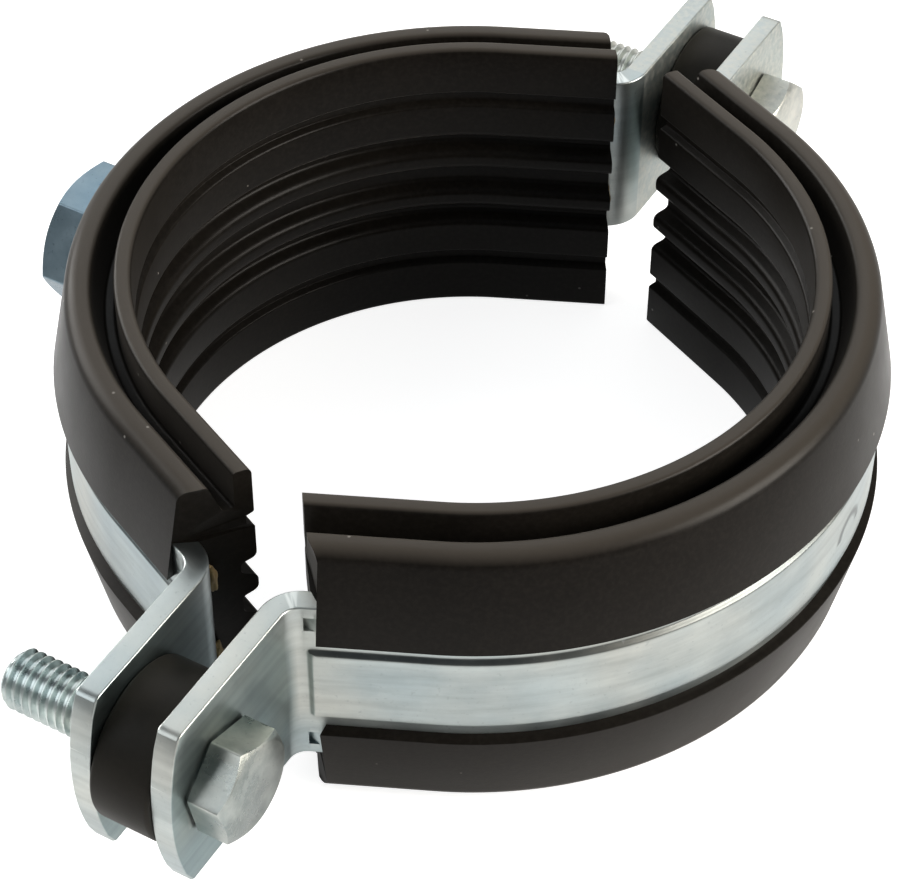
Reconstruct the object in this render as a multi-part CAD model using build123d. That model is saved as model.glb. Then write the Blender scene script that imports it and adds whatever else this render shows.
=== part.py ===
from build123d import *
import os
from math import cos, radians, sin, sqrt

os.makedirs("parts", exist_ok=True)

# Pipe seat: an 88.9 mm pipe on the crests of the rubber ribs, axis along Z
SEAT_R = 44.45
HALF_HEIGHT = 23.5

# Steel strip: an arc with straight flanks, then an ear at each end
STRIP_W = 27.0
STRIP_T = 3.0
STRIP_IN_R = 51.5
STRIP_OUT_R = STRIP_IN_R + STRIP_T
FLANK_ANGLE = 65.0
BEND_IN_R = 2.5
EAR_GAP = 8.5
EAR_CORNER_Y = 80.3
EAR_TIP_Y = 83.0
EAR_CORNER_ROUND = 1.0

# Flattened ridge rolled along the middle of the strip, with run-outs at both ends
RIDGE_H = 0.6
RIDGE_HALF_W = 5.6
RIDGE_SLOPE = 0.7
RIDGE_HALF_ANGLE = 62.0

# Small pressed notches in the strip's edges beside each bend
NOTCH_Z = 10.6
NOTCH_W = 2.6
NOTCH_LONG = 2.2
NOTCH_DEEP = 0.8

# Rubber liner, one moulded profile around each half of the strip
GROOVE_R = 46.6
SHALLOW_R = 45.5
RIM_OUT_R = 46.8
CHANNEL_OUT_R = 48.4
CHANNEL_Z = 17.6
LIP_IN_R = 50.0
LIP_OUT_R = 53.1
LIP_Z = 22.3
FLAP_TIP_R = 55.9
FLAP_TIP_Z = 7.8
LINER_ROUND = 0.7
LIP_ROUND = 1.1
LINER_END_IN_X = 3.6
LINER_END_OUT_X = 8.0
FLAP_END_X = 10.8
LINER_FLANK_LONG = 22.0

# Beads of adhesive between strip and liner at the liner's ends
BEAD_R = 1.3
BEAD_LONG = 6.0
BEAD_X = 7.0
BEAD_Y = 52.6
BEAD_Z = 7.0

# Two hexagon head screws, M8 x 30, threaded into the left ears
SCREW_Y = 73.1
SHANK_R = 4.0
SHANK_LONG = 30.0
TIP_CHAMFER = 1.0
HEAD_AF = 13.0
HEAD_H = 5.3
HEAD_TURN = -18.0
WASHER_FACE_R = 5.9
WASHER_FACE_H = 0.4
TAPPED_R = 4.05
CLEARANCE_R = 4.5

# Rubber distance sleeves on the screws, between the ears
SLEEVE_R = 10.75
SLEEVE_BORE_R = 4.3
SLEEVE_ROUND = 0.5

# Connection nut M12 welded on the crown of the left half
NUT_AF = 19.0
NUT_H = 10.0
NUT_THREAD_R = 6.0
NUT_MOUTH_CHAMFER = 0.8
NUT_RELIEF_R = 7.0
NUT_RELIEF_H = 0.4
NUT_POCKET_GAP = 0.15
WELD_R = 1.2

# Derived places
MID_R = STRIP_IN_R + STRIP_T / 2
EAR_MID_X = EAR_GAP / 2 + STRIP_T / 2
EAR_OUT_X = EAR_GAP / 2 + STRIP_T
BEND_R = BEND_IN_R + STRIP_T / 2
BEND_X = EAR_MID_X + BEND_R
NUT_SEAT_X = STRIP_OUT_R + RIDGE_H
NUT_FACE_X = NUT_SEAT_X + NUT_H
SIDES = (-1, 1)


def on_circle(radius, angle):
    """Point in the XY plane at an angle in degrees from +X."""
    return (radius * cos(radians(angle)), radius * sin(radians(angle)))


def flank_y(radius, x):
    """Distance along Y at which the flank tangent to a circle of this radius passes a given X."""
    return (radius - x * cos(radians(FLANK_ANGLE))) / sin(radians(FLANK_ANGLE))


def mirrored(part):
    """The same part on the other side of the YZ plane."""
    return mirror(part, about=Plane.YZ)


# Clamp halves
def strip_path():
    """Middle line of the right-hand strip, from the front ear's end to the rear ear's end."""
    bend_y = flank_y(MID_R + BEND_R, BEND_X)
    flank_end = (BEND_X - BEND_R * cos(radians(FLANK_ANGLE)), bend_y - BEND_R * sin(radians(FLANK_ANGLE)))
    half_turn = radians(FLANK_ANGLE / 2)
    bend_mid = (BEND_X - BEND_R * cos(half_turn), bend_y - BEND_R * sin(half_turn))
    ring = ThreePointArc(on_circle(MID_R, -FLANK_ANGLE), (MID_R, 0), on_circle(MID_R, FLANK_ANGLE))
    rear_flank = Line(on_circle(MID_R, FLANK_ANGLE), flank_end)
    rear_bend = ThreePointArc(flank_end, bend_mid, (EAR_MID_X, bend_y))
    rear_ear = Line((EAR_MID_X, bend_y), (EAR_MID_X, EAR_TIP_Y + STRIP_T))
    rear = [rear_flank, rear_bend, rear_ear]
    front = [mirror(piece, about=Plane.XZ) for piece in reversed(rear)]
    return [*front, ring, *rear]


def ear_outline():
    """Side view of a strip: straight edges, with each ear's end a flat arc between two corners."""
    half = STRIP_W / 2
    with BuildSketch(Plane.YZ) as outline:
        with BuildLine():
            Line((-EAR_CORNER_Y, -half), (EAR_CORNER_Y, -half))
            ThreePointArc((EAR_CORNER_Y, -half), (EAR_TIP_Y, 0), (EAR_CORNER_Y, half))
            Line((EAR_CORNER_Y, half), (-EAR_CORNER_Y, half))
            ThreePointArc((-EAR_CORNER_Y, half), (-EAR_TIP_Y, 0), (-EAR_CORNER_Y, -half))
        make_face()
        fillet(outline.vertices(), EAR_CORNER_ROUND)
    return outline.sketch


def rolled_ridge():
    """Raised band along the middle of the strip, running out tangentially at both ends."""
    with BuildSketch(Plane.XZ) as section:
        with BuildLine():
            Polyline(
                (STRIP_OUT_R - STRIP_T / 2, -RIDGE_HALF_W - RIDGE_SLOPE),
                (STRIP_OUT_R, -RIDGE_HALF_W - RIDGE_SLOPE),
                (STRIP_OUT_R + RIDGE_H, -RIDGE_HALF_W),
                (STRIP_OUT_R + RIDGE_H, RIDGE_HALF_W),
                (STRIP_OUT_R, RIDGE_HALF_W + RIDGE_SLOPE),
                (STRIP_OUT_R - STRIP_T / 2, RIDGE_HALF_W + RIDGE_SLOPE),
                close=True,
            )
        make_face()
    band = revolve(section.sketch.rotate(Axis.Z, -RIDGE_HALF_ANGLE), Axis.Z, 2 * RIDGE_HALF_ANGLE)
    for side in SIDES:
        run_out = Pos(STRIP_OUT_R + STRIP_T, 0, 0) * Box(2 * STRIP_T, 6 * STRIP_W, 2 * STRIP_W)
        band -= Rot(0, 0, side * RIDGE_HALF_ANGLE) * run_out
    return band


def edge_notches():
    """Wedge prints in the outer face beside each bend, near both edges of the strip."""
    cuts = []
    for end in SIDES:
        y = end * flank_y(STRIP_OUT_R, BEND_X)
        for edge in SIDES:
            wedge = Wedge(NOTCH_LONG, NOTCH_DEEP * 2, NOTCH_W, NOTCH_LONG, 0, NOTCH_LONG, NOTCH_W)
            cuts.append(Pos(BEND_X, y, edge * NOTCH_Z) * Rot(0, 0, end * FLANK_ANGLE - 90) * wedge)
    return cuts


def ear_holes(radius):
    """Cutters for the holes through both ears of a right-hand strip."""
    places = [Pos(EAR_MID_X, side * SCREW_Y, 0) * Rot(0, 90, 0) for side in SIDES]
    return [place * Cylinder(radius, 2 * STRIP_T) for place in places]


def clamp_half(hole_radius):
    """Right-hand half: bent strip with ears, ridge, notches and screw holes."""
    band = extrude(trace(strip_path(), STRIP_T), STRIP_W / 2, both=True)
    half = band & extrude(ear_outline(), 2 * STRIP_OUT_R, both=True)
    half += rolled_ridge()
    for cutter in edge_notches() + ear_holes(hole_radius):
        half -= cutter
    return half


# Rubber liners
def liner_section():
    """Section through the liner in the radius and Z plane: ribs, rim, channel, lip, flap and slot."""
    upper = [
        (GROOVE_R, 0.0),
        (GROOVE_R, 1.4),
        (SEAT_R, 2.3),
        (SEAT_R, 4.8),
        (GROOVE_R, 5.7),
        (GROOVE_R, 7.4),
        (SEAT_R, 8.2),
        (SEAT_R, 13.7),
        (SHALLOW_R, 14.2),
        (SHALLOW_R, 15.6),
        (SEAT_R, 16.1),
        (SEAT_R, HALF_HEIGHT - LINER_ROUND),
        (SEAT_R + LINER_ROUND, HALF_HEIGHT),
        (RIM_OUT_R, HALF_HEIGHT),
        (RIM_OUT_R, CHANNEL_Z + 0.6),
        (RIM_OUT_R + 0.6, CHANNEL_Z),
        (CHANNEL_OUT_R, CHANNEL_Z),
        (LIP_IN_R, LIP_Z),
        (LIP_OUT_R, LIP_Z),
        (FLAP_TIP_R, FLAP_TIP_Z + 0.5),
        (STRIP_OUT_R, FLAP_TIP_Z),
        (STRIP_OUT_R, STRIP_W / 2),
        (STRIP_IN_R, STRIP_W / 2),
    ]
    lower = [(r, -z) for r, z in reversed(upper) if z > 0]
    with BuildSketch(Plane.XZ) as section:
        with BuildLine():
            Polyline(*upper, *lower, close=True)
        make_face()
        rims = [v for v in section.vertices() if abs(v.Z) > LIP_Z + 0.1 and v.X > RIM_OUT_R - 0.1]
        fillet(rims, LINER_ROUND)
        lips = [v for v in section.vertices() if abs(abs(v.Z) - LIP_Z) < 0.1 and v.X > LIP_IN_R - 0.1]
        fillet(lips, LIP_ROUND)
    return section.sketch


def liner_end_cutters():
    """Prisms that cut the liner's slanted ends, and its flaps short of the strip's bends."""
    inside = SEAT_R - STRIP_T
    seat_y = flank_y(SEAT_R, LINER_END_IN_X)
    strip_y = flank_y(STRIP_IN_R, LINER_END_OUT_X)
    slope = (LINER_END_OUT_X - LINER_END_IN_X) / (strip_y - seat_y)
    slot_y = flank_y(STRIP_OUT_R, FLAP_END_X) - LINER_ROUND / 2
    outside = 1.2 * STRIP_OUT_R
    cutters = []
    for end in SIDES:
        with BuildSketch() as outline:
            with BuildLine():
                Polyline(
                    (-STRIP_T, end * inside),
                    (LINER_END_IN_X - slope * (seat_y - inside), end * inside),
                    (LINER_END_OUT_X, end * strip_y),
                    (FLAP_END_X, end * slot_y),
                    (FLAP_END_X, end * outside),
                    (-STRIP_T, end * outside),
                    close=True,
                )
            make_face()
        cutters.append(extrude(outline.sketch, 2 * HALF_HEIGHT, both=True))
    return cutters


def liner():
    """Right-hand liner: the section swept along an arc and two straight flanks, with both ends cut."""
    section = liner_section()
    body = revolve(section.rotate(Axis.Z, -FLANK_ANGLE), Axis.Z, 2 * FLANK_ANGLE)
    for end in SIDES:
        direction = (*on_circle(1, end * (FLANK_ANGLE + 90)), 0)
        body += extrude(section.rotate(Axis.Z, end * FLANK_ANGLE), LINER_FLANK_LONG, dir=direction)
    for cutter in liner_end_cutters():
        body -= cutter
    return body


# Connection nut on the crown of the left half
def hexagon(across_flats, height):
    """Hexagonal prism along +X from X = 0, with flats up and down."""
    with BuildSketch(Plane.YZ) as sketch:
        RegularPolygon(across_flats / 2, 6, major_radius=False, rotation=0)
    return extrude(sketch.sketch, height)


def corner_chamfer(across_flats, height):
    """Cone that trims a hexagon's corners at its far face, to be intersected with it."""
    corner_r = across_flats / sqrt(3)
    drop = (corner_r - across_flats / 2) / sqrt(3)
    with BuildSketch(Plane.XY) as profile:
        with BuildLine():
            Polyline(
                (-height, 0),
                (-height, 2 * corner_r),
                (height - drop - corner_r / sqrt(3), 2 * corner_r),
                (height, across_flats / 2),
                (height, 0),
                close=True,
            )
        make_face()
    return revolve(profile.sketch, Axis.X)


def connection_nut():
    """Hexagon nut, its foot hollowed to the strip and relieved round the bore, with four weld nubs."""
    depth = NUT_FACE_X - STRIP_IN_R
    blank = hexagon(NUT_AF, depth) & corner_chamfer(NUT_AF, depth)
    nut = Pos(STRIP_IN_R, 0, 0) * blank
    for side in SIDES:
        for end in SIDES:
            nut += Pos(NUT_SEAT_X, end * NUT_AF * 0.46, side * RIDGE_HALF_W * 0.7) * Sphere(WELD_R)
    mouth_low_r = NUT_THREAD_R - NUT_MOUTH_CHAMFER
    mouth_high_r = NUT_THREAD_R + NUT_MOUTH_CHAMFER
    mouth = Pos(NUT_FACE_X, 0, 0) * Rot(0, 90, 0) * Cone(mouth_low_r, mouth_high_r, 2 * NUT_MOUTH_CHAMFER)
    bore = Pos(NUT_FACE_X - NUT_H / 2, 0, 0) * Rot(0, 90, 0) * Cylinder(NUT_THREAD_R, 2 * NUT_H)
    relief = Pos(NUT_SEAT_X, 0, 0) * Rot(0, 90, 0) * Cylinder(NUT_RELIEF_R, 2 * NUT_RELIEF_H)
    for cutter in (Cylinder(STRIP_OUT_R, 2 * STRIP_W), rolled_ridge(), bore, relief, mouth):
        nut -= cutter
    return nut


def nut_pocket():
    """Room for the nut between the liner's flaps."""
    return Pos(STRIP_IN_R, 0, 0) * hexagon(NUT_AF + 2 * NUT_POCKET_GAP, NUT_H * 2)


# Screws, sleeves and adhesive
def screw():
    """Hexagon head screw along X, head turned, its seat on the right ear and its tip past the left."""
    shank = Pos(-SHANK_LONG / 2, 0, 0) * Rot(0, 90, 0) * Cylinder(SHANK_R, SHANK_LONG)
    shank = chamfer(shank.edges().filter_by(GeomType.CIRCLE).sort_by(Axis.X)[0], TIP_CHAMFER)
    upper_head = hexagon(HEAD_AF, HEAD_H) & corner_chamfer(HEAD_AF, HEAD_H)
    upper_head -= Rot(0, 90, 0) * Cylinder(HEAD_AF, 2 * WASHER_FACE_H)
    washer_face = Pos(WASHER_FACE_H / 2, 0, 0) * Rot(0, 90, 0) * Cylinder(WASHER_FACE_R, WASHER_FACE_H)
    return Pos(EAR_OUT_X, 0, 0) * Rot(HEAD_TURN, 0, 0) * (upper_head + washer_face + shank)


def sleeve():
    """Rubber sleeve that fills the gap between two ears."""
    ring = Cylinder(SLEEVE_R, EAR_GAP)
    ring = fillet(ring.edges().filter_by(GeomType.CIRCLE), SLEEVE_ROUND)
    return Rot(0, 90, 0) * (ring - Cylinder(SLEEVE_BORE_R, EAR_GAP))


def adhesive_beads(half, rubber):
    """Four beads squeezed out between the strip's bends and the ends of the right-hand liner."""
    blank = Cylinder(BEAD_R, BEAD_LONG)
    blank = chamfer(blank.edges().filter_by(GeomType.CIRCLE), BEAD_R / 2)
    places = [Pos(BEAD_X, end * BEAD_Y, side * BEAD_Z) for end in SIDES for side in SIDES]
    return [place * blank - half - rubber for place in places]


def at_ears(part, side):
    """A piece of one screw joint moved from the X axis to the front or rear ears."""
    return Pos(0, side * SCREW_Y, 0) * part


right_half = clamp_half(CLEARANCE_R)
tapped_half = clamp_half(TAPPED_R)
right_liner = liner()
right_beads = adhesive_beads(right_half, right_liner)
front_screw = at_ears(screw(), -1)
pieces = {
    "clamp_half_right": right_half,
    "clamp_half_left": mirrored(tapped_half),
    "liner_right": right_liner,
    "liner_left": mirrored(right_liner - nut_pocket()),
    "connection_nut": mirrored(connection_nut()),
    "adhesive_right": Compound(children=right_beads),
    "adhesive_left": Compound(children=[mirrored(bead) for bead in right_beads]),
    "screw_front": front_screw,
    "screw_rear": mirror(front_screw, about=Plane.XZ),
    "spacer_sleeve_front": at_ears(sleeve(), -1),
    "spacer_sleeve_rear": at_ears(sleeve(), 1),
}
for name, piece in pieces.items():
    export_step(piece, f"parts/{name}.step")
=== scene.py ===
import math

import bmesh
import bpy
from mathutils import Matrix, Vector
from mathutils.geometry import tessellate_polygon


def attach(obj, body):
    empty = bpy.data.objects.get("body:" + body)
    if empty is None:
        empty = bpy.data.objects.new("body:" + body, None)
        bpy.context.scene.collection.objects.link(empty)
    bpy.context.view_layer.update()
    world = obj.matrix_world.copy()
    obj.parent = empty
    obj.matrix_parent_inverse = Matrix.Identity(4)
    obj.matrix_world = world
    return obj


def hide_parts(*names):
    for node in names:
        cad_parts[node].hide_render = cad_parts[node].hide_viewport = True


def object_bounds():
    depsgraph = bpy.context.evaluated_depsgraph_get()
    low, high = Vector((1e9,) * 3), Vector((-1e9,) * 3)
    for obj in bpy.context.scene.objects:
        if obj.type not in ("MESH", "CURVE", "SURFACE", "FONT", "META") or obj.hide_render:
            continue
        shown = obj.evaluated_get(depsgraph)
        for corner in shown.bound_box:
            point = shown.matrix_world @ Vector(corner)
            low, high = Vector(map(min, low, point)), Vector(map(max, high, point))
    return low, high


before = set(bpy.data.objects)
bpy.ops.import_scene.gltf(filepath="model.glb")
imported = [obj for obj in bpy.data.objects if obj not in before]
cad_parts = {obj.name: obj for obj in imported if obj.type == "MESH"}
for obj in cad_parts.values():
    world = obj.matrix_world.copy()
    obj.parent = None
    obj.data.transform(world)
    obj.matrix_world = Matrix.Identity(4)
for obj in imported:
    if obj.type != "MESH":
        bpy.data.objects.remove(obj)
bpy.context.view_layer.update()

# Units and sides
MM = 0.001
SIDES = (-1, 1)
RIGHT = 1
LEFT = -1

# Steel strip, as in the frame
STRIP_W = 27.0
STRIP_T = 3.0
STRIP_IN_R = 51.5
STRIP_OUT_R = STRIP_IN_R + STRIP_T
MID_R = STRIP_IN_R + STRIP_T / 2
BEND_R = 2.5 + STRIP_T / 2
EAR_GAP = 8.5
EAR_MID_X = EAR_GAP / 2 + STRIP_T / 2
EAR_OUT_X = EAR_GAP / 2 + STRIP_T
EAR_CORNER_Y = 80.3
EAR_TIP_Y = 83.0
EAR_CORNER_ROUND = 1.0
FLANK_ANGLE = math.radians(65.0)
BEND_X = EAR_MID_X + BEND_R
EDGE_ROUND = 0.25
RIDGE_H = 0.6
RIDGE_HALF_W = 5.6
RIDGE_SLOPE = 0.7
RIDGE_END_X = 9.0
RIDGE_END_SLOPE = 0.7
NOTCH_Z = 10.6

# Marks on the steel: the pressed crescent, pale patches painted as a highlight on the rear ears and screw,
# the reach of the painted shade and highlight ramps
MARK_Y = 2.5
MARK_Z = -1.6
MARK_R = 2.9
REAR_HIGHLIGHT_FROM_Y = 58.0
REAR_HIGHLIGHT = (0.70, 0.68, 0.61)
PAINTED_LIGHT_REACH = 20.0

# Rubber liner
SEAT_R = 44.45
HALF_HEIGHT = 23.5
GROOVE_R = 46.6
SHALLOW_R = 45.5
RIM_OUT_R = 46.8
CHANNEL_OUT_R = 48.4
CHANNEL_Z = 17.6
LIP_IN_R = 50.0
LIP_OUT_R = 53.1
LIP_Z = 22.3
FLAP_TIP_R = 55.9
FLAP_TIP_Z = 7.8
LINER_END_IN_X = 3.6
LINER_END_OUT_X = 8.0
FLAP_END_X = 10.8

# Screws and sleeves
SCREW_Y = 73.1
SHANK_R = 4.0
SHANK_LONG = 30.0
SCREW_PITCH = 1.25
HEAD_AF = 13.0
HEAD_H = 5.3
HEAD_SEAT_H = 0.4
HEAD_TURN = math.radians(-18.0)
CHAMFER_ANGLE = math.radians(30.0)
CHAMFER_SHARE = 0.475
TAPPED_HOLE_R = 4.05
PLAIN_HOLE_R = 4.5
SLEEVE_R = 10.75
SLEEVE_BORE_R = 4.3

# Connection nut
NUT_AF = 19.0
NUT_SEAT_X = STRIP_OUT_R + RIDGE_H
NUT_H = 10.0
NUT_THREAD_R = 6.0
NUT_PITCH = 1.75
NUB_Z = 3.7
NUB_RADII = (0.55, 1.3, 1.5)

# Beads of adhesive
BEAD_X = 7.0
BEAD_Y = 52.6
BEAD_Z = 7.0
BEAD_RADII = (1.0, 0.75, 2.9)

# Camera, from the photograph's perspective
CAMERA_AZ = math.radians(30.045)
CAMERA_EL = math.radians(44.669)
CAMERA_ROLL = math.radians(0.187)
CAMERA_DISTANCE = 382.2
CAMERA_SIDE = -2.66
CAMERA_RISE = -8.35
CAMERA_LENS = 111.7
SENSOR = 36.0

# Floor, in metres
FLOOR_HALF = 3.0
CONTACT_SHADOW_REACH = 0.05


# Mesh helpers
def flank_y(radius, x):
    """Distance along Y at which the flank tangent to a circle of this radius passes a given X."""
    return (radius - x * math.cos(FLANK_ANGLE)) / math.sin(FLANK_ANGLE)


def smooth_step(value, low, high):
    """0 below low, 1 above high, with a soft ramp between."""
    t = min(max((value - low) / (high - low), 0.0), 1.0)
    return t * t * (3 - 2 * t)


def mesh_piece(name, verts, faces, side=RIGHT):
    """A smooth-shaded object from points in mm, mirrored in X for the left side."""
    mesh = bpy.data.meshes.new(name)
    mesh.from_pydata([(side * x * MM, y * MM, z * MM) for x, y, z in verts], [], faces)
    obj = bpy.data.objects.new(name, mesh)
    bpy.context.scene.collection.objects.link(obj)
    bm = bmesh.new()
    bm.from_mesh(mesh)
    bmesh.ops.remove_doubles(bm, verts=bm.verts, dist=0.002 * MM)
    bmesh.ops.dissolve_degenerate(bm, edges=bm.edges, dist=0.0005 * MM)
    bmesh.ops.recalc_face_normals(bm, faces=bm.faces)
    bm.to_mesh(mesh)
    bm.free()
    set_smooth(obj)
    return obj


def set_smooth(obj, angle=32.0):
    """Smooth shading with sharp edges where faces meet at more than the angle."""
    mesh = obj.data
    mesh.shade_smooth()
    mesh.set_sharp_from_angle(angle=math.radians(angle))


def apply_modifiers(obj):
    """The object's mesh with its modifiers applied."""
    depsgraph = bpy.context.evaluated_depsgraph_get()
    mesh = bpy.data.meshes.new_from_object(obj.evaluated_get(depsgraph))
    obj.modifiers.clear()
    obj.data = mesh


def cut(obj, *cutters):
    """Boolean difference, the cutters deleted afterwards."""
    for cutter in cutters:
        step = obj.modifiers.new("cut", "BOOLEAN")
        step.operation = "DIFFERENCE"
        step.solver = "EXACT"
        step.object = cutter
        apply_modifiers(obj)
        bpy.data.objects.remove(cutter, do_unlink=True)
    set_smooth(obj)


def joined(name, *objects):
    """Several mesh objects made into one."""
    bm = bmesh.new()
    for obj in objects:
        bm.from_mesh(obj.data)
        bpy.data.objects.remove(obj, do_unlink=True)
    mesh = bpy.data.meshes.new(name)
    bm.to_mesh(mesh)
    bm.free()
    whole = bpy.data.objects.new(name, mesh)
    bpy.context.scene.collection.objects.link(whole)
    set_smooth(whole)
    return whole


def rounded(corners, steps=5):
    """Closed outline from (x, y, radius) corners, each rounded by an arc of that radius."""
    outline = []
    count = len(corners)
    for i, (x, y, radius) in enumerate(corners):
        here = Vector((x, y))
        if radius <= 0:
            outline.append((x, y))
            continue
        before = (Vector(corners[i - 1][:2]) - here).normalized()
        after = (Vector(corners[(i + 1) % count][:2]) - here).normalized()
        half = before.angle(after) / 2
        centre = here + (before + after).normalized() * radius / math.sin(half)
        start = here + before * radius / math.tan(half) - centre
        end = here + after * radius / math.tan(half) - centre
        sweep = start.angle_signed(end)
        for k in range(steps + 1):
            point = start.copy()
            point.rotate(Matrix.Rotation(-sweep * k / steps, 2))
            outline.append((centre.x + point.x, centre.y + point.y))
    return outline


def grid_faces(rows, columns, closed=True):
    """Quads between successive rows of points; closed rows join end to start."""
    faces = []
    last = columns if closed else columns - 1
    for i in range(rows - 1):
        for j in range(last):
            k = (j + 1) % columns
            faces.append((i * columns + j, i * columns + k, (i + 1) * columns + k, (i + 1) * columns + j))
    return faces


def cap_faces(outline, first, flip=False):
    """Triangles that fill a planar outline whose points start at index first."""
    triangles = tessellate_polygon([[Vector((x, y, 0)) for x, y in outline]])
    return [tuple(first + i for i in (reversed(t) if flip else t)) for t in triangles]


def cylinder_x(name, x, y, z, radius, length, side=RIGHT, steps=64):
    """Closed cylinder along X, for cutting."""
    verts = []
    for end in SIDES:
        for k in range(steps):
            a = 2 * math.pi * k / steps
            verts.append((x + end * length / 2, y + radius * math.cos(a), z + radius * math.sin(a)))
    faces = grid_faces(2, steps) + [tuple(range(steps)), tuple(range(2 * steps - 1, steps - 1, -1))]
    return mesh_piece(name, verts, faces, side)


# Steel strip
def ear_end(z):
    """How far the ear reaches along Y at height z: a flat arc with rounded corners."""
    half = STRIP_W / 2
    rise = EAR_TIP_Y - EAR_CORNER_Y
    radius = (half * half + rise * rise) / (2 * rise)
    reach = EAR_TIP_Y - radius + math.sqrt(radius * radius - z * z)
    depth = max(0.0, EAR_CORNER_ROUND - (half - abs(z)))
    return reach - EAR_CORNER_ROUND + math.sqrt(max(0.0, EAR_CORNER_ROUND**2 - depth**2))


def strip_section():
    """Outline of the strip's section as (offset outwards, height), dense where the ridge starts."""
    half_t = STRIP_T / 2
    half_w = STRIP_W / 2
    corners = [(half_t, -half_w), (half_t, half_w), (-half_t, half_w), (-half_t, -half_w)]
    outline = rounded([(x, y, EDGE_ROUND) for x, y in corners], 6)
    heights = [RIDGE_HALF_W + RIDGE_SLOPE * k / 6 for k in range(7)] + [0.0, 2.5, 4.5, 8.0, 9.5, 11.0]
    face = sorted({round(s * h, 4) for h in heights for s in SIDES})
    per_corner = len(outline) // 4
    dense = outline[:per_corner] + [(half_t, z) for z in face]
    dense += outline[per_corner : 3 * per_corner]
    dense += [(-half_t, z) for z in reversed(face)] + outline[3 * per_corner :]
    return dense


def ridge_height(x, z):
    """Height of the rolled ridge on the outer face, with a short slope where it ends at each bend."""
    across = 1 - smooth_step(abs(z), RIDGE_HALF_W, RIDGE_HALF_W + RIDGE_SLOPE)
    return RIDGE_H * across * smooth_step(x, RIDGE_END_X, RIDGE_END_X + RIDGE_END_SLOPE)


def strip_rows():
    """Rows along the strip: (kind, place along it, inset of the section at the ear's end)."""
    rows = []
    for k in range(6):
        a = math.pi / 2 * k / 5
        rows.append(("end", EDGE_ROUND * (1 - math.cos(a)), EDGE_ROUND * (1 - math.sin(a))))
    rows += [("ear", k / 12, 0.0) for k in range(1, 12)]
    rows += [("bend", k / 18, 0.0) for k in range(19)]
    rows += [("flank", 0.01 + k / 100, 0.0) for k in range(9)]
    rows += [("flank", k / 6, 0.0) for k in range(1, 6)]
    half_arc = [("arc", 1 - k / 80, 0.0) for k in range(81)]
    front = rows + half_arc
    return [(-1, row) for row in front] + [(1, row) for row in reversed(front[:-1])]


def strip_point(side, row, u, z):
    """A point of the right-hand strip, u outwards from its middle line, z up."""
    kind, place, inset = row
    bend_y = flank_y(MID_R + BEND_R, BEND_X)
    if kind in ("end", "ear"):
        u *= 1 - inset / (STRIP_T / 2)
        z *= 1 - inset / (STRIP_W / 2)
        reach = ear_end(z)
        y = reach - place if kind == "end" else reach - EDGE_ROUND - place * (reach - EDGE_ROUND - bend_y)
        return (EAR_MID_X + u, side * y, z)
    if kind == "bend":
        angle = FLANK_ANGLE * place
        x = BEND_X + (u - BEND_R) * math.cos(angle)
        return (x, side * (bend_y + (u - BEND_R) * math.sin(angle)), z)
    angle = FLANK_ANGLE * (place if kind == "arc" else 1)
    radius = MID_R + u
    x = radius * math.cos(angle)
    if kind == "flank":
        flank_end = BEND_X + (u - BEND_R) * math.cos(FLANK_ANGLE)
        x = flank_end + (x - flank_end) * place
        raised = ridge_height(x, z) if u > 0 else 0.0
        out_x, out_y = math.cos(FLANK_ANGLE) * raised, math.sin(FLANK_ANGLE) * raised
        return (x + out_x, side * (flank_y(radius, x) + out_y), z)
    if u > 0:
        radius += ridge_height(x, z)
    return (radius * math.cos(angle), side * radius * math.sin(angle), z)


def notch_cutter(name, end, edge, side):
    """Small wedge that prints a notch in the outer face beside a bend."""
    out = Vector((math.cos(FLANK_ANGLE), end * math.sin(FLANK_ANGLE)))
    along = Vector((math.sin(FLANK_ANGLE), -end * math.cos(FLANK_ANGLE)))
    base = Vector((BEND_X, end * flank_y(STRIP_OUT_R, BEND_X)))
    verts = []
    for z in (edge * (NOTCH_Z - 1.1), edge * (NOTCH_Z + 1.2)):
        for s, h in ((-1.1, 0.5), (1.2, 0.5), (-1.1, -0.75)):
            point = base + along * s + out * h
            verts.append((point.x, point.y, z))
    faces = [(0, 1, 2), (3, 5, 4), (0, 3, 4, 1), (1, 4, 5, 2), (2, 5, 3, 0)]
    return mesh_piece(name, verts, faces, side)


def clamp_half(name, side, hole_radius):
    """One bent strip with ears, ridge, screw holes and notches."""
    section = strip_section()
    rows = strip_rows()
    verts = [strip_point(end, row, u, z) for end, row in rows for u, z in section]
    count = len(section)
    faces = grid_faces(len(rows), count)
    faces += cap_faces(section, 0) + cap_faces(section, (len(rows) - 1) * count, True)
    strip = mesh_piece(name, verts, faces, side)
    for end in SIDES:
        cut(strip, cylinder_x("hole", EAR_MID_X, end * SCREW_Y, 0, hole_radius, 3 * STRIP_T, side))
        for edge in SIDES:
            cut(strip, notch_cutter("notch", end, edge, side))
    return strip


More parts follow.
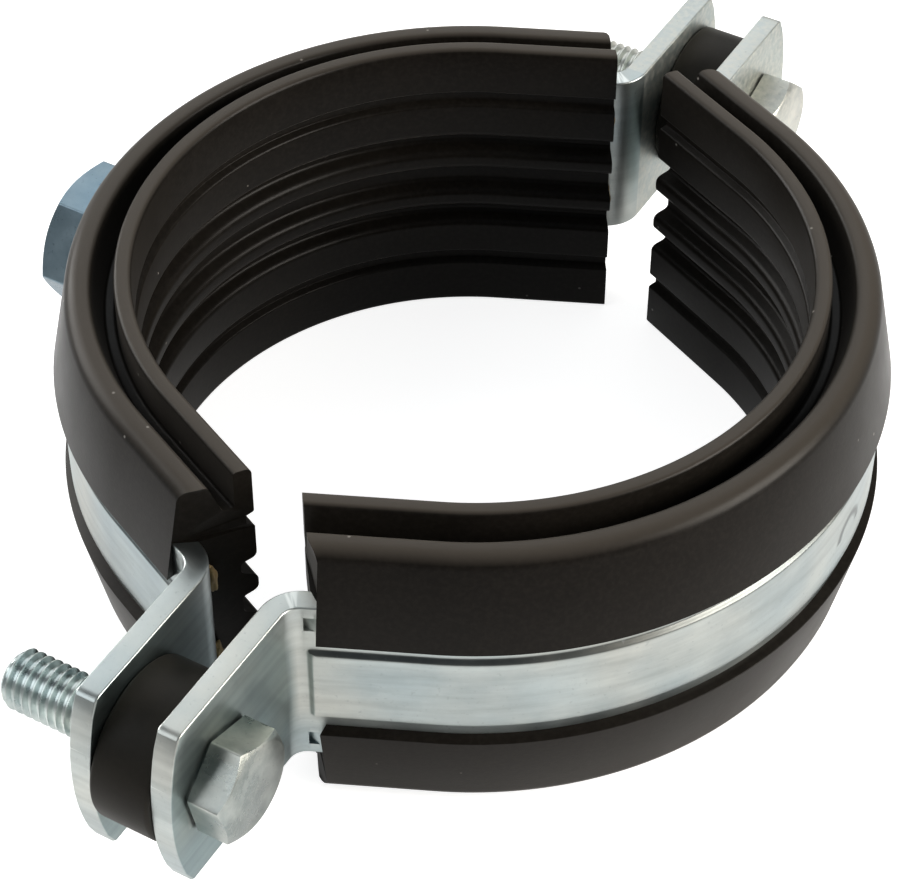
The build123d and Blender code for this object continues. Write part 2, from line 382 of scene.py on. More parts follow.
# Rubber liner
def liner_outline():
    """The liner's section as (radius, height), its edges softly rounded."""
    upper = [
        (GROOVE_R, 1.4, 0.8),
        (SEAT_R, 2.3, 1.2),
        (SEAT_R, 4.8, 1.2),
        (GROOVE_R, 5.7, 0.8),
        (GROOVE_R, 7.4, 0.8),
        (SEAT_R, 8.2, 1.1),
        (SEAT_R, 13.7, 0.5),
        (SHALLOW_R, 14.2, 0.15),
        (SHALLOW_R, 15.6, 0.15),
        (SEAT_R, 16.1, 0.4),
        (SEAT_R, HALF_HEIGHT, 0.8),
        (RIM_OUT_R, HALF_HEIGHT, 0.6),
        (RIM_OUT_R, CHANNEL_Z, 0.5),
        (CHANNEL_OUT_R, CHANNEL_Z, 0.5),
        (LIP_IN_R, LIP_Z, 0.9),
        (LIP_OUT_R, LIP_Z, 2.2),
        (FLAP_TIP_R, FLAP_TIP_Z + 0.5, 0.12),
        (STRIP_OUT_R, FLAP_TIP_Z, 0.0),
        (STRIP_OUT_R, STRIP_W / 2, 0.0),
        (STRIP_IN_R, STRIP_W / 2, 0.0),
    ]
    lower = [(r, -z, radius) for r, z, radius in reversed(upper)]
    return rounded(upper + lower, 4)


def liner_end_x(radius):
    """X at which the liner's kinked end cuts the flank that is tangent to a circle of this radius."""
    if radius <= STRIP_IN_R:
        share = (radius - SEAT_R) / (STRIP_IN_R - SEAT_R)
        return LINER_END_IN_X + share * (LINER_END_OUT_X - LINER_END_IN_X)
    share = min(1.0, (radius - STRIP_IN_R) / (STRIP_T - 0.3))
    return LINER_END_OUT_X + share * (FLAP_END_X - LINER_END_OUT_X)


def liner(name, side):
    """One liner: its section swept along a flank, an arc and the other flank."""
    outline = liner_outline()
    arc_steps = 120
    flank_steps = 14
    places = [(-1, k / flank_steps) for k in range(flank_steps)]
    places += [(0, 2 * k / arc_steps - 1) for k in range(arc_steps + 1)]
    places += [(1, 1 - k / flank_steps) for k in range(1, flank_steps + 1)]
    verts = []
    for end, share in places:
        for r, z in outline:
            if end == 0:
                verts.append((r * math.cos(FLANK_ANGLE * share), r * math.sin(FLANK_ANGLE * share), z))
                continue
            x = liner_end_x(r)
            x += (r * math.cos(FLANK_ANGLE) - x) * share
            verts.append((x, end * flank_y(r, x), z))
    count = len(outline)
    faces = grid_faces(len(places), count)
    faces += cap_faces(outline, 0) + cap_faces(outline, (len(places) - 1) * count, True)
    return mesh_piece(name, verts, faces, side)


# Hexagons and threads
def hexagon_body(
    name, across_flats, low, high, chamfer_r, side=RIGHT, low_of=None, hole=0.0, y=0.0, turn=0.0
):
    """Hexagon prism along X, turned from flats up and down, its far corners chamfered."""
    corner_r = across_flats / math.sqrt(3)
    corners = []
    for k in range(6):
        a = math.pi / 3 * k + turn
        corners.append((corner_r * math.cos(a), corner_r * math.sin(a), 0.35))
    outline = []
    ring = rounded(corners, 4)
    for i, (py, pz) in enumerate(ring):
        qy, qz = ring[(i + 1) % len(ring)]
        pieces = 10 if math.hypot(qy - py, qz - pz) > 1 else 1
        for k in range(pieces):
            outline.append((py + (qy - py) * k / pieces, pz + (qz - pz) * k / pieces))
    rows = []
    rows.append([(low_of(py, pz) if low_of else low, py, pz) for py, pz in outline])
    for inset in (0.0, 0.25, 0.6, 1.0):
        row = []
        for py, pz in outline:
            r = math.hypot(py, pz)
            now = r + (min(chamfer_r, r) - r) * inset
            drop = max(0.0, now - chamfer_r) * math.tan(CHAMFER_ANGLE)
            row.append((high - drop, py * now / r, pz * now / r))
        rows.append(row)
    inner = []
    for py, pz in outline:
        r = math.hypot(py, pz)
        inner.append((high, py * hole / r, pz * hole / r))
    rows.append(inner)
    verts = [(px, py + y, pz) for row in rows for px, py, pz in row]
    return mesh_piece(name, verts, grid_faces(len(rows), len(outline)), side)


def thread_radius(phase, root_r, crest_r, root_share=0.25, crest_share=0.125):
    """Radius of a 60 degree thread at a phase from 0 to 1 through one pitch."""
    flank = (1 - root_share - crest_share) / 2
    phase = phase % 1.0
    if phase < root_share:
        return root_r
    if phase < root_share + flank:
        return root_r + (crest_r - root_r) * (phase - root_share) / flank
    if phase < root_share + flank + crest_share:
        return crest_r
    return crest_r - (crest_r - root_r) * (phase - root_share - flank - crest_share) / flank


def helix_surface(name, start, end, pitch, root_r, crest_r, limit, y=0.0, side=RIGHT, turn=48):
    """Threaded surface along X from start to end; limit(x, r) trims the radius, for chamfers."""
    phases = [0.0, 0.125, 0.25, 0.36, 0.45, 0.5625, 0.625, 0.6875, 0.80, 0.90]
    count = len(phases)
    turns = int((end - start) / pitch) + 3
    verts = []
    for row in range(turns * count + 1):
        axial = (row // count - 1 + phases[row % count]) * pitch
        for k in range(turn):
            a = 2 * math.pi * k / turn
            x = start + axial + pitch * k / turn
            r = thread_radius(phases[row % count], root_r, crest_r)
            x = min(max(x, start), end)
            r = limit(x, r)
            verts.append((x, y + r * math.cos(a), r * math.sin(a)))
    faces = []
    rows = turns * count + 1
    for i in range(rows - 1):
        for k in range(turn):
            n = (k + 1) % turn
            up = count if n == 0 else 0
            if i + 1 + up < rows:
                first = (i * turn + k, (i + up) * turn + n)
                faces.append((*first, (i + 1 + up) * turn + n, (i + 1) * turn + k))
    return mesh_piece(name, verts, faces, side)


def disc(name, x, y, radius, steps=48, side=RIGHT):
    """Flat disc facing along X."""
    verts = [(x, y, 0.0)]
    for k in range(steps):
        a = 2 * math.pi * k / steps
        verts.append((x, y + radius * math.cos(a), radius * math.sin(a)))
    faces = [(0, k + 1, (k + 1) % steps + 1) for k in range(steps)]
    return mesh_piece(name, verts, faces, side)


def ring_surface(name, profile, y=0.0, steps=64, side=RIGHT, closed=False):
    """Surface of revolution about a line along X, from (x, radius) points."""
    verts = []
    for x, r in profile:
        for k in range(steps):
            a = 2 * math.pi * k / steps
            verts.append((x, y + r * math.cos(a), r * math.sin(a)))
    faces = grid_faces(len(profile), steps)
    if closed:
        last = (len(profile) - 1) * steps
        faces += [(last + k, last + (k + 1) % steps, (k + 1) % steps, k) for k in range(steps)]
    return mesh_piece(name, verts, faces, side)


def screw(name, side_y):
    """Hexagon head screw: chamfered head on a washer face, and a full thread with a chamfered tip."""
    y = side_y * SCREW_Y
    seat = EAR_OUT_X
    tip = seat - SHANK_LONG
    root_r = SHANK_R - 0.5 * SCREW_PITCH

    def tip_limit(x, r):
        return min(r, SHANK_R - 1.0 + (x - tip))

    thread = helix_surface("thread", tip, seat + 0.2, SCREW_PITCH, root_r, SHANK_R - 0.02, tip_limit, y)
    end = disc("tip", tip, y, SHANK_R - 1.0)
    turn = -side_y * HEAD_TURN
    chamfer_r = HEAD_AF * CHAMFER_SHARE
    head = hexagon_body("head", HEAD_AF, seat + HEAD_SEAT_H, seat + HEAD_H, chamfer_r, y=y, turn=turn)
    washer = [(HEAD_SEAT_H, HEAD_AF * 0.49), (HEAD_SEAT_H, 5.9), (0.0, 5.8), (0.0, 3.6)]
    under = ring_surface("seat", [(seat + h, r) for h, r in washer], y)
    return joined(name, thread, end, head, under)


def connection_nut(name):
    """Nut on the crown: chamfered hexagon, internal thread, and a foot that follows the strip."""
    face = NUT_SEAT_X + NUT_H
    sunk = 0.25
    mouth_r = NUT_THREAD_R + 0.8
    minor_r = NUT_THREAD_R - 0.5413 * NUT_PITCH

    def foot(py, pz):
        return math.sqrt(STRIP_OUT_R**2 - py * py) + ridge_height(STRIP_OUT_R, pz) - sunk

    def mouth_limit(x, r):
        return max(r, mouth_r - (face - x))

    body = hexagon_body("nut", NUT_AF, 0, face, NUT_AF * CHAMFER_SHARE, LEFT, foot, mouth_r)
    start = NUT_SEAT_X - 1.0
    bore = helix_surface("bore", start, face, NUT_PITCH, minor_r, NUT_THREAD_R, mouth_limit, side=LEFT)
    nubs = []
    for edge in SIDES:
        for end in SIDES:
            centre = (NUT_SEAT_X - 0.1, end * NUT_AF * 0.47, edge * NUB_Z)
            nubs.append(lump("nub", centre, NUB_RADII, LEFT))
    return joined(name, body, bore, *nubs)


def lump(name, centre, radii, side=RIGHT, seed=0.0, roughness=0.12):
    """Small uneven blob."""
    bm = bmesh.new()
    bmesh.ops.create_icosphere(bm, subdivisions=4, radius=1.0)
    verts = []
    for v in bm.verts:
        wave = math.sin(5.1 * v.co.x + seed) * math.sin(4.3 * v.co.y + 2 * seed)
        wave *= math.sin(3.7 * v.co.z + 1 + seed)
        grow = 1 - roughness + roughness * wave
        verts.append(tuple(c + r * grow * q for c, r, q in zip(centre, radii, v.co)))
    faces = [tuple(v.index for v in f.verts) for f in bm.faces]
    bm.free()
    return mesh_piece(name, verts, faces, side)


def sleeve(name, side_y):
    """Rubber sleeve between two ears, its edges rounded and its side slightly crowned."""
    y = side_y * SCREW_Y
    half = EAR_GAP / 2
    corners = [
        (-half, SLEEVE_BORE_R, 0.2),
        (-half, SLEEVE_R - 0.12, 0.6),
        (half, SLEEVE_R - 0.12, 0.6),
        (half, SLEEVE_BORE_R, 0.2),
    ]
    profile = []
    for x, r in rounded(corners, 5):
        crown = 0.12 * (1 - (x / half) ** 2) if r > SLEEVE_R / 2 else 0.0
        profile.append((x, r + crown))
    return ring_surface(name, profile, y, 96, closed=True)


def adhesive(name, side):
    """Beads of dried adhesive at the liner's ends."""
    beads = []
    for end in SIDES:
        for edge in SIDES:
            seed = 1.7 * end + 0.9 * edge
            centre = (BEAD_X, end * BEAD_Y, edge * BEAD_Z)
            beads.append(lump("bead", centre, BEAD_RADII, side, seed, 0.22))
    return joined(name, *beads)


# Materials
def node_material(name):
    """A new node material: returns it with its tree, its shader and an object coordinate socket."""
    material = bpy.data.materials.new(name)
    material.use_nodes = True
    tree = material.node_tree
    shader = tree.nodes["Principled BSDF"]
    coords = tree.nodes.new("ShaderNodeTexCoord").outputs["Object"]
    return material, tree, shader, coords


def noise(tree, vector, scale, detail=4.0, roughness=0.55):
    """Noise texture's factor at a scale per metre."""
    node = tree.nodes.new("ShaderNodeTexNoise")
    node.inputs["Scale"].default_value = scale
    node.inputs["Detail"].default_value = detail
    node.inputs["Roughness"].default_value = roughness
    tree.links.new(vector, node.inputs["Vector"])
    return node.outputs["Fac"]


def ramp(tree, factor, *stops):
    """Colour ramp through (position, colour) stops; a number stands for a grey."""
    node = tree.nodes.new("ShaderNodeValToRGB")
    elements = node.color_ramp.elements
    while len(elements) < len(stops):
        elements.new(0.5)
    for element, (position, colour) in zip(elements, stops):
        element.position = position
        rgb = (colour,) * 3 if isinstance(colour, (int, float)) else colour
        element.color = (*rgb, 1.0)
    tree.links.new(factor, node.inputs["Fac"])
    return node.outputs["Color"]


def math_node(tree, operation, first, second=None, third=None):
    """Math node on sockets or numbers."""
    node = tree.nodes.new("ShaderNodeMath")
    node.operation = operation
    for socket, value in zip(node.inputs, (first, second, third)):
        if value is None:
            continue
        if isinstance(value, (int, float)):
            socket.default_value = value
        else:
            tree.links.new(value, socket)
    return node.outputs["Value"]


def mix_colour(tree, factor, first, second):
    """Mix of two colours, each a socket or a colour."""
    node = tree.nodes.new("ShaderNodeMix")
    node.data_type = "RGBA"
    tree.links.new(factor, node.inputs["Factor"])
    sockets = [s for s in node.inputs if s.type == "RGBA"]
    for socket, value in zip(sockets, (first, second)):
        if isinstance(value, tuple):
            socket.default_value = (*value, 1.0)
        else:
            tree.links.new(value, socket)
    return [s for s in node.outputs if s.type == "RGBA"][0]


def tinted(tree, colour, tint):
    """A colour socket multiplied by a tint socket."""
    node = tree.nodes.new("ShaderNodeMix")
    node.data_type = "RGBA"
    node.blend_type = "MULTIPLY"
    node.inputs["Factor"].default_value = 1.0
    sockets = [s for s in node.inputs if s.type == "RGBA"]
    tree.links.new(colour, sockets[0])
    tree.links.new(tint, sockets[1])
    return [s for s in node.outputs if s.type == "RGBA"][0]


def places_mm(tree, coords):
    """The coordinates in mm, as three sockets."""
    split = tree.nodes.new("ShaderNodeSeparateXYZ")
    tree.links.new(coords, split.inputs[0])
    return [math_node(tree, "DIVIDE", place, MM) for place in split.outputs]


def distance(tree, first, second):
    """Length of a vector with two components."""
    squares = [math_node(tree, "MULTIPLY", side, side) for side in (first, second)]
    return math_node(tree, "SQRT", math_node(tree, "ADD", *squares))


def bump(tree, height, strength, depth, normal=None):
    """Bump node; its normal can feed another."""
    node = tree.nodes.new("ShaderNodeBump")
    node.inputs["Strength"].default_value = strength
    node.inputs["Distance"].default_value = depth
    tree.links.new(height, node.inputs["Height"])
    if normal is not None:
        tree.links.new(normal, node.inputs["Normal"])
    return node.outputs["Normal"]


def polar(tree, coords, around):
    """Coordinates that follow the ring: angle times around, radius and height."""
    split = tree.nodes.new("ShaderNodeSeparateXYZ")
    tree.links.new(coords, split.inputs[0])
    x, y, z = split.outputs
    angle = math_node(tree, "ARCTAN2", y, x)
    join = tree.nodes.new("ShaderNodeCombineXYZ")
    tree.links.new(math_node(tree, "MULTIPLY", angle, around), join.inputs[0])
    tree.links.new(distance(tree, x, y), join.inputs[1])
    tree.links.new(z, join.inputs[2])
    return join.outputs[0]


def strip_coords(tree, coords, around):
    """Coordinates that run along the strip: height, and a small share of the angle round the ring."""
    split = tree.nodes.new("ShaderNodeSeparateXYZ")
    tree.links.new(coords, split.inputs[0])
    x, y, z = split.outputs
    join = tree.nodes.new("ShaderNodeCombineXYZ")
    tree.links.new(math_node(tree, "MULTIPLY", math_node(tree, "ARCTAN2", y, x), around), join.inputs[0])
    tree.links.new(z, join.inputs[2])
    return join.outputs[0]


def press_mark(tree, coords):
    """Mask of the crescent-shaped mark pressed into the crown of the right half."""
    x, y, z = places_mm(tree, coords)
    across = math_node(tree, "SUBTRACT", y, MARK_Y)
    down = math_node(tree, "SUBTRACT", z, MARK_Z)
    off = math_node(tree, "ABSOLUTE", math_node(tree, "SUBTRACT", distance(tree, across, down), MARK_R))
    band = ramp(tree, off, (0.25, 1.0), (0.95, 0.0))
    upper = ramp(tree, math_node(tree, "MULTIPLY_ADD", down, 0.4, 0.5), (0.45, 0.0), (0.65, 1.0))
    outside = math_node(tree, "GREATER_THAN", x, STRIP_OUT_R - EDGE_ROUND)
    return math_node(tree, "MULTIPLY", math_node(tree, "MULTIPLY", band, upper), outside)


def screw_distance(tree, coords):
    """Distance in mm from the nearer screw's axis."""
    y, z = places_mm(tree, coords)[1:]
    return distance(tree, math_node(tree, "SUBTRACT", math_node(tree, "ABSOLUTE", y), SCREW_Y), z)


def face_direction(tree):
    """The surface's direction as three sockets."""
    split = tree.nodes.new("ShaderNodeSeparateXYZ")
    tree.links.new(tree.nodes.new("ShaderNodeNewGeometry").outputs["Normal"], split.inputs[0])
    return split.outputs


def strip_wear_and_shade(tree, coords, colour, cloud):
    """Brushed streaks along the strip, painted shade and dark reflection with some soiling on the ears'
    faces near the screws, and painted shade on the ridge's upper slope.
    """
    brushed = noise(tree, strip_coords(tree, coords, 0.006), 520.0, 4.0, 0.6)
    colour = tinted(tree, colour, ramp(tree, brushed, (0.35, 0.86), (0.62, 1.04)))
    facing = face_direction(tree)
    near_screw = math_node(tree, "DIVIDE", screw_distance(tree, coords), PAINTED_LIGHT_REACH)
    # Painted shade and dark reflection, with some soiling: the ears' faces within 20 mm of a screw are
    # painted darker and bluer.
    ear_shade_and_grime = ramp(
        tree,
        near_screw,
        (0.33, (0.56, 0.62, 0.62)),
        (0.5, (0.58, 0.66, 0.68)),
        (0.8, (0.58, 0.65, 0.67)),
        (1.0, 1.0),
    )
    flat = ramp(tree, math_node(tree, "ABSOLUTE", facing[0]), (0.7, 0.0), (0.95, 1.0))
    colour = mix_colour(tree, flat, colour, tinted(tree, colour, ear_shade_and_grime))
    # Painted shade: the upward-facing upper slope of the ridge, away from the screws, is painted dark in
    # noisy patches to hold down a lamp's highlight.
    upward = ramp(tree, facing[2], (0.05, 0.0), (0.3, 1.0))
    height = math_node(tree, "DIVIDE", places_mm(tree, coords)[2], PAINTED_LIGHT_REACH)
    ledge = ramp(tree, height, (0.265, 0.0), (0.28, 1.0), (0.315, 1.0), (0.33, 0.0))
    on_ring = math_node(tree, "GREATER_THAN", near_screw, 0.9)
    ridge_shade_mask = math_node(tree, "MULTIPLY", math_node(tree, "MULTIPLY", upward, ledge), on_ring)
    ridge_shade = ramp(tree, cloud, (0.3, 0.25), (0.7, 0.38))
    return mix_colour(tree, ridge_shade_mask, colour, tinted(tree, colour, ridge_shade))


def zinc(name, light, dark, low_rough, high_rough, streaks=True):
    """Zinc plated steel: satin and mottled, with pits and paler worn edges, painted highlights on the
    screws' thread and on the rear parts; the strip adds its own wear and painted shade.
    """
    material, tree, shader, coords = node_material(name)
    cloud = noise(tree, coords, 70.0 if streaks else 190.0, 5.0, 0.6)
    grain = noise(tree, coords, 2600.0, 3.0, 0.6)
    colour = ramp(tree, cloud, (0.32, dark), (0.68, light))
    tint = ramp(tree, noise(tree, coords, 38.0, 2.0), (0.38, (0.94, 1.0, 1.03)), (0.62, (1.03, 1.0, 0.96)))
    colour = tinted(tree, colour, tint)
    if streaks:
        colour = strip_wear_and_shade(tree, coords, colour, cloud)
    else:
        # Painted highlight: the screws' thread is painted up to 1.45 times brighter than the head, fully so
        # left of X = 0; the nut, at negative X, gets the full 1.45 too.
        along_shank = math_node(tree, "DIVIDE", places_mm(tree, coords)[0], PAINTED_LIGHT_REACH)
        colour = tinted(tree, colour, ramp(tree, along_shank, (0.0, 1.45), (0.4, 1.0)))
    # Painted highlight: pale warm patches are painted on everything behind Y = 58 mm, the rear ears and
    # rear screw, and made rougher there.
    rear = math_node(tree, "GREATER_THAN", places_mm(tree, coords)[1], REAR_HIGHLIGHT_FROM_Y)
    rear_highlight = ramp(tree, noise(tree, coords, 1100.0, 4.0), (0.38, 0.25), (0.66, 0.62))
    rear_highlight = math_node(tree, "MULTIPLY", rear_highlight, rear)
    colour = mix_colour(tree, rear_highlight, colour, REAR_HIGHLIGHT)
    wear = tree.nodes.new("ShaderNodeNewGeometry").outputs["Pointiness"]
    worn = ramp(tree, wear, (0.53, 0.0), (0.62, 1.0))
    pale = tuple(min(1.0, c * 1.25) for c in light)
    colour = mix_colour(tree, worn, colour, pale)
    specks = noise(tree, coords, 1700.0, 2.0, 0.5)
    pits = ramp(tree, specks, (0.64, 0.0), (0.80, 0.5))
    colour = mix_colour(tree, pits, colour, tuple(0.7 * c for c in dark))
    mark = press_mark(tree, coords)
    colour = mix_colour(tree, mark, colour, tuple(0.45 * c for c in dark))
    tree.links.new(colour, shader.inputs["Base Color"])
    shader.inputs["Metallic"].default_value = 1.0
    rough = ramp(tree, cloud, (0.3, low_rough), (0.7, high_rough))
    rough = math_node(tree, "MULTIPLY_ADD", rear_highlight, 0.2, rough)
    tree.links.new(rough, shader.inputs["Roughness"])
    along = strip_coords(tree, coords, 0.01) if streaks else coords
    lines = noise(tree, along, 2200.0, 3.0, 0.6)
    normal = bump(tree, grain, 0.10, 0.00004)
    normal = bump(tree, lines, 0.14 if streaks else 0.06, 0.00003, normal)
    dents = noise(tree, coords, 150.0 if streaks else 320.0, 3.0)
    normal = bump(tree, dents, 0.25 if streaks else 0.45, 0.0001, normal)
    normal = bump(tree, math_node(tree, "MULTIPLY", mark, -1.0), 0.5, 0.0003, normal)
    tree.links.new(normal, shader.inputs["Normal"])
    return material


def rubber(name, base, dust_and_top_light_colour, roughness, speck_share=0.5):
    """Moulded rubber: dark, softly shining, with a faint dust film, upward faces near the top painted paler
    as dust and painted top light, pale specks and faint lines.
    """
    material, tree, shader, coords = node_material(name)
    cloud = noise(tree, coords, 55.0, 4.0, 0.6)
    dust = noise(tree, coords, 1500.0, 2.0, 0.5)
    darker = tuple(0.7 * c for c in base)
    colour = ramp(tree, cloud, (0.35, darker), (0.7, base))
    film = ramp(tree, dust, (0.40, 0.0), (0.9, 0.10))
    colour = mix_colour(tree, film, colour, dust_and_top_light_colour)
    cells = tree.nodes.new("ShaderNodeTexVoronoi")
    cells.inputs["Scale"].default_value = 420.0
    tree.links.new(coords, cells.inputs["Vector"])
    near = ramp(tree, cells.outputs["Distance"], (0.0, 1.0), (0.11, 0.0))
    pick = tree.nodes.new("ShaderNodeSeparateColor")
    tree.links.new(cells.outputs["Color"], pick.inputs[0])
    chosen = math_node(tree, "GREATER_THAN", pick.outputs[0], 1.0 - 0.12 * speck_share)
    speck = math_node(tree, "MULTIPLY", near, chosen)
    # Dust and painted top light: faces that point upwards, above the channel, are painted towards the paler
    # colour.
    top_light_and_dust = ramp(tree, face_direction(tree)[2], (0.48, 0.0), (0.97, 0.72))
    high = math_node(tree, "GREATER_THAN", places_mm(tree, coords)[2], CHANNEL_Z + 0.5)
    colour = mix_colour(tree, math_node(tree, "MULTIPLY", top_light_and_dust, high), colour, dust_and_top_light_colour)
    colour = mix_colour(tree, speck, colour, (0.34, 0.32, 0.29))
    tree.links.new(colour, shader.inputs["Base Color"])
    rough = ramp(tree, cloud, (0.3, roughness - 0.06), (0.7, roughness + 0.06))
    tree.links.new(rough, shader.inputs["Roughness"])
    shader.inputs["Specular IOR Level"].default_value = 0.10
    shader.inputs["Sheen Weight"].default_value = 0.085
    shader.inputs["Sheen Roughness"].default_value = 0.4
    shader.inputs["Sheen Tint"].default_value = (1.0, 0.93, 0.85, 1.0)
    lines = noise(tree, polar(tree, coords, 0.02), 1500.0, 3.0, 0.6)
    normal = bump(tree, lines, 0.12, 0.00005)
    normal = bump(tree, noise(tree, coords, 3500.0, 2.0), 0.16, 0.00004, normal)
    tree.links.new(normal, shader.inputs["Normal"])
    return material


def dried_adhesive(name):
    """Tan dried adhesive, uneven and slightly glossy."""
    material, tree, shader, coords = node_material(name)
    cloud = noise(tree, coords, 500.0, 4.0)
    colour = ramp(tree, cloud, (0.3, (0.36, 0.24, 0.10)), (0.7, (0.62, 0.47, 0.24)))
    tree.links.new(colour, shader.inputs["Base Color"])
    tree.links.new(ramp(tree, cloud, (0.3, 0.38), (0.7, 0.6)), shader.inputs["Roughness"])
    tree.links.new(bump(tree, noise(tree, coords, 1800.0), 0.4, 0.0001), shader.inputs["Normal"])
    return material


def stage_material(name, colour, lift):
    """Pale stage surface, lifted to white for the camera and less so for reflections; the lift carries a
    painted contact shadow from ambient occlusion, reflections see a painted pool of light near the clamp,
    and the colour is painted darker far away as a falloff of light.
    """
    material, tree, shader, coords = node_material(name)
    split = tree.nodes.new("ShaderNodeSeparateXYZ")
    tree.links.new(coords, split.inputs[0])
    away = distance(tree, split.outputs[0], split.outputs[1])
    shade = ramp(tree, noise(tree, coords, 6.0, 2.0), (0.3, colour), (0.7, colour * 1.01))
    # Painted falloff of light: the floor's colour darkens to 0.3 of itself between 0.2 and 0.38 m from the
    # middle.
    shade = tinted(tree, shade, ramp(tree, away, (0.20, 1.0), (0.38, 0.3)))
    tree.links.new(shade, shader.inputs["Base Color"])
    shader.inputs["Roughness"].default_value = 0.9
    shader.inputs["Specular IOR Level"].default_value = 0.0
    # Painted contact shadow: ambient occlusion darkens the lift near the clamp, a little for the camera and
    # fully for reflections.
    contact_shadow_ao = tree.nodes.new("ShaderNodeAmbientOcclusion")
    contact_shadow_ao.samples = 6
    contact_shadow_ao.inputs["Distance"].default_value = CONTACT_SHADOW_REACH
    soft = math_node(tree, "MULTIPLY_ADD", contact_shadow_ao.outputs["AO"], 0.22, 0.78)
    path = tree.nodes.new("ShaderNodeLightPath")
    glossy, through = path.outputs["Is Glossy Ray"], path.outputs["Is Transmission Ray"]
    # Painted pool of light: reflections see the lift at 0.72 within 0.1 m of the middle, falling to 0.27
    # beyond 0.15 m.
    near = ramp(tree, away, (0.10, 0.72), (0.15, 0.27))
    shadowed_light_pool = math_node(tree, "MULTIPLY", contact_shadow_ao.outputs["AO"], near)
    bounced = math_node(tree, "MULTIPLY", math_node(tree, "MAXIMUM", glossy, through), shadowed_light_pool)
    direct = math_node(tree, "MULTIPLY", path.outputs["Is Camera Ray"], soft)
    seen = math_node(tree, "MAXIMUM", direct, bounced)
    shader.inputs["Emission Color"].default_value = (1, 1, 1, 1)
    tree.links.new(math_node(tree, "MULTIPLY", seen, lift), shader.inputs["Emission Strength"])
    return material


def dress(piece, material, body, slot, *nodes):
    """Give a piece its material and body, and let it stand for its CAD node."""
    piece.data.materials.clear()
    piece.data.materials.append(material)
    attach(piece, body)
    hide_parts(*nodes)


def build_clamp():
    """All pieces of the clamp in their materials."""
    strip_zinc = zinc("strip_zinc", (0.59, 0.615, 0.595), (0.42, 0.465, 0.47), 0.30, 0.42)
    screw_zinc = zinc("screw_zinc", (0.54, 0.555, 0.525), (0.25, 0.28, 0.275), 0.22, 0.38, False)
    nut_zinc = zinc("nut_zinc", (0.16, 0.215, 0.255), (0.095, 0.14, 0.175), 0.24, 0.38, False)
    liner_rubber = rubber("liner_rubber", (0.008, 0.0066, 0.0051), (0.072, 0.063, 0.053), 0.34)
    sleeve_rubber = rubber("sleeve_rubber", (0.030, 0.027, 0.022), (0.06, 0.052, 0.043), 0.45, 0.2)
    glue = dried_adhesive("dried_adhesive")
    left_strip = clamp_half("strip_left", LEFT, TAPPED_HOLE_R)
    dress(left_strip, strip_zinc, "fixed_half", "zinc_strip", "clamp_half_left")
    right_strip = clamp_half("strip_right", RIGHT, PLAIN_HOLE_R)
    dress(right_strip, strip_zinc, "moving_half", "zinc_strip", "clamp_half_right")
    left_liner = liner("rubber_liner_left", LEFT)
    cut(left_liner, hexagon_cutter())
    dress(left_liner, liner_rubber, "fixed_half", "liner_rubber", "liner_left")
    right_liner = liner("rubber_liner_right", RIGHT)
    dress(right_liner, liner_rubber, "moving_half", "liner_rubber", "liner_right")
    dress(connection_nut("welded_nut"), nut_zinc, "fixed_half", "zinc_nut", "connection_nut")
    dress(adhesive("glue_left", LEFT), glue, "fixed_half", "adhesive", "adhesive_left")
    dress(adhesive("glue_right", RIGHT), glue, "moving_half", "adhesive", "adhesive_right")
    for side_y, place in ((-1, "front"), (1, "rear")):
        bolt = screw(f"hex_screw_{place}", side_y)
        dress(bolt, screw_zinc, f"{place}_screw", "zinc_screw", f"screw_{place}")
        ring = sleeve(f"rubber_sleeve_{place}", side_y)
        dress(ring, sleeve_rubber, "moving_half", "sleeve_rubber", f"spacer_sleeve_{place}")


def hexagon_cutter():
    """Prism that clears the nut from the flaps of the left liner."""
    corner_r = (NUT_AF + 0.3) / math.sqrt(3)
    verts = []
    for x in (STRIP_IN_R, STRIP_IN_R + 2 * NUT_H):
        for k in range(6):
            a = math.pi / 3 * k
            verts.append((x, corner_r * math.cos(a), corner_r * math.sin(a)))
    faces = grid_faces(2, 6) + [(0, 1, 2, 3, 4, 5), (11, 10, 9, 8, 7, 6)]
    return mesh_piece("pocket", verts, faces, LEFT)


# Stage, lights and camera
def build_stage():
    """Pale floor under the clamp."""
    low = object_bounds()[0][2]
    far = FLOOR_HALF
    corners = [(-far, -far, low), (far, -far, low), (far, far, low), (-far, far, low)]
    mesh = bpy.data.meshes.new("floor")
    mesh.from_pydata(corners, [], [(0, 1, 2, 3)])
    floor = bpy.data.objects.new("floor", mesh)
    bpy.context.scene.collection.objects.link(floor)
    floor.data.materials.append(stage_material("pale_floor", 0.55, 1.0))


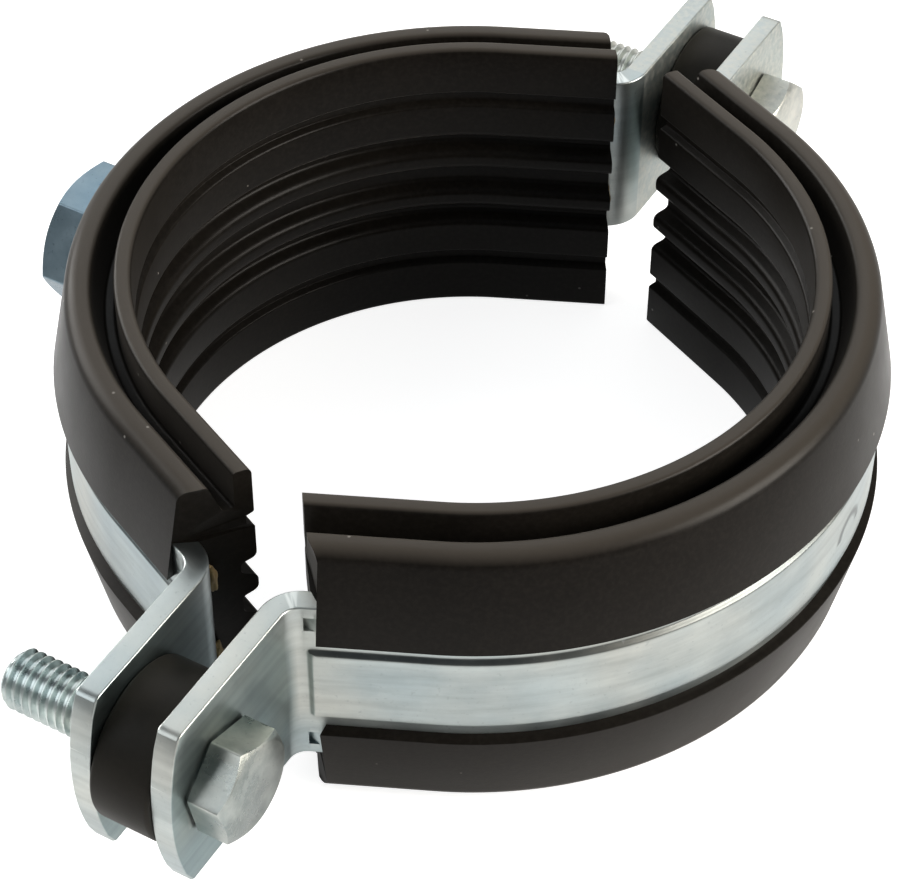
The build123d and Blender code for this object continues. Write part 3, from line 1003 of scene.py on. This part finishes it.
def build_world():
    """Soft surroundings: pale near the horizon and darker overhead."""
    world = bpy.data.worlds.new("studio")
    world.use_nodes = True
    tree = world.node_tree
    split = tree.nodes.new("ShaderNodeSeparateXYZ")
    tree.links.new(tree.nodes.new("ShaderNodeTexCoord").outputs["Generated"], split.inputs[0])
    sky = ramp(tree, split.outputs[2], (0.05, (0.48, 0.48, 0.47)), (0.45, (0.12, 0.13, 0.14)))
    tree.links.new(sky, tree.nodes["Background"].inputs["Color"])
    bpy.context.scene.world = world


def area_light(name, place, size, power, colour):
    """Square soft light at a place in metres, facing the clamp."""
    data = bpy.data.lights.new(name, "AREA")
    data.size = size
    data.energy = power
    data.color = colour
    lamp = bpy.data.objects.new(name, data)
    lamp.location = place
    lamp.rotation_euler = (-Vector(place)).to_track_quat("-Z", "Y").to_euler()
    bpy.context.scene.collection.objects.link(lamp)


def build_lights():
    """Broad lights from behind and from both sides, and a small key from the front left."""
    area_light("back", (-0.29, 0.50, 0.57), 0.7, 2.0, (0.97, 0.99, 1.0))
    area_light("key", (-0.38, -0.46, 0.54), 0.45, 1.2, (0.95, 0.98, 1.0))
    area_light("left", (-0.75, 0.05, 0.32), 0.5, 5.5, (1.0, 0.98, 0.95))
    area_light("right", (0.75, 0.15, 0.32), 0.5, 9.5, (1.0, 0.94, 0.86))


def build_camera():
    """Camera at the photograph's angle and distance."""
    az, el, roll = CAMERA_AZ, CAMERA_EL, CAMERA_ROLL
    back = Vector((math.sin(az) * math.cos(el), -math.cos(az) * math.cos(el), math.sin(el)))
    right = Vector((math.cos(az), math.sin(az), 0))
    up = back.cross(right)
    place = (right * CAMERA_SIDE + up * CAMERA_RISE + back * CAMERA_DISTANCE) * MM
    across = right * math.cos(roll) + up * math.sin(roll)
    upward = up * math.cos(roll) - right * math.sin(roll)
    data = bpy.data.cameras.new("camera")
    data.sensor_fit = "HORIZONTAL"
    data.sensor_width = SENSOR
    data.lens = CAMERA_LENS
    data.clip_start = 0.01
    camera = bpy.data.objects.new("camera", data)
    camera.matrix_world = Matrix(
        (
            (across.x, upward.x, back.x, place.x),
            (across.y, upward.y, back.y, place.y),
            (across.z, upward.z, back.z, place.z),
            (0, 0, 0, 1),
        )
    )
    bpy.context.scene.collection.objects.link(camera)
    bpy.context.scene.camera = camera


build_clamp()
build_stage()
build_world()
build_lights()
build_camera()
bpy.context.scene.view_settings.view_transform = "Standard"
